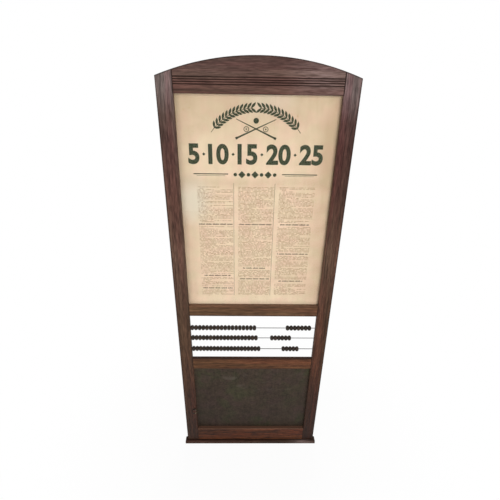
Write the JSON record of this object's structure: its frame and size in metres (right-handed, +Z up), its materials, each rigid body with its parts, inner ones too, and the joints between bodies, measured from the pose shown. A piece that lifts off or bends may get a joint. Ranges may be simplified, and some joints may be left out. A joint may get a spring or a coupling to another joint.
{
  "type": "billiards scoreboard",
  "caption": "Tall arched oak wall board with a printed sheet behind glass, sliding score beads on wires in an open window, and a writing slate.",
  "frame": {"origin": "midway between the two hanging holes, in the plane of the wall at the board's back", "axes": "+Z up, +X to the right as the front is faced, -Y out of the front"},
  "size_m": [0.622, 0.0569, 1.652],
  "materials": {
    "oak": "dark stained and waxed oak",
    "pine": "bare aged pine",
    "glass": "clear old window glass",
    "paper": "aged printed paper on card",
    "slate": "worn writing slate",
    "wire": "dull drawn steel wire",
    "bead_wood": "black stained and polished turned wood",
    "iron": "dark old iron"
  },
  "bodies": {
    "board": {"left_stile": "oak", "right_stile": "oak", "arched_top_rail": "oak", "middle_rail": "oak", "lower_rail": "oak", "bottom_rail": "oak", "base_plinth": "oak", "left_back_batten": "oak", "right_back_batten": "oak", "top_cross_batten": "oak", "middle_cross_batten": "oak", "lower_cross_batten": "oak", "bottom_cross_batten": "oak", "print_backboard": "pine", "slate_backboard": "pine", "glass_pane": "glass", "glass_spacer": "paper", "printed_sheet": "paper", "slate_panel": "slate", "upper_wire": "wire", "middle_wire": "wire", "lower_wire": "wire", "chalk_screw_eye": "iron", "left_hanging_plate": "iron", "right_hanging_plate": "iron", "hanging_plate_screws": "iron", "batten_screws": "iron", "plinth_screws": "iron", "print_pins": "iron", "slate_pins": "iron"},
    "upper_left_beads": {"upper_left_beads_run": "bead_wood"},
    "upper_right_beads": {"upper_right_beads_run": "bead_wood"},
    "middle_left_beads": {"middle_left_beads_run": "bead_wood"},
    "middle_right_beads": {"middle_right_beads_run": "bead_wood"},
    "lower_left_beads": {"lower_left_beads_run": "bead_wood"},
    "lower_right_beads": {"lower_right_beads_run": "bead_wood"}
  },
  "joints": [
    {"name": "upper_left_slide", "type": "slide", "parent": "board", "child": "upper_left_beads", "axis": [1, 0, 0], "range_m": [0, 0.11906]},
    {"name": "upper_right_slide", "type": "slide", "parent": "board", "child": "upper_right_beads", "axis": [1, 0, 0], "range_m": [-0.11906, 0.01624]},
    {"name": "middle_left_slide", "type": "slide", "parent": "board", "child": "middle_left_beads", "axis": [1, 0, 0], "range_m": [0, 0.05057]},
    {"name": "middle_right_slide", "type": "slide", "parent": "board", "child": "middle_right_beads", "axis": [1, 0, 0], "range_m": [-0.05057, 0.09392]},
    {"name": "lower_left_slide", "type": "slide", "parent": "board", "child": "lower_left_beads", "axis": [1, 0, 0], "range_m": [0, 0.08808]},
    {"name": "lower_right_slide", "type": "slide", "parent": "board", "child": "lower_right_beads", "axis": [1, 0, 0], "range_m": [-0.08808, 0.05872]}
  ]
}
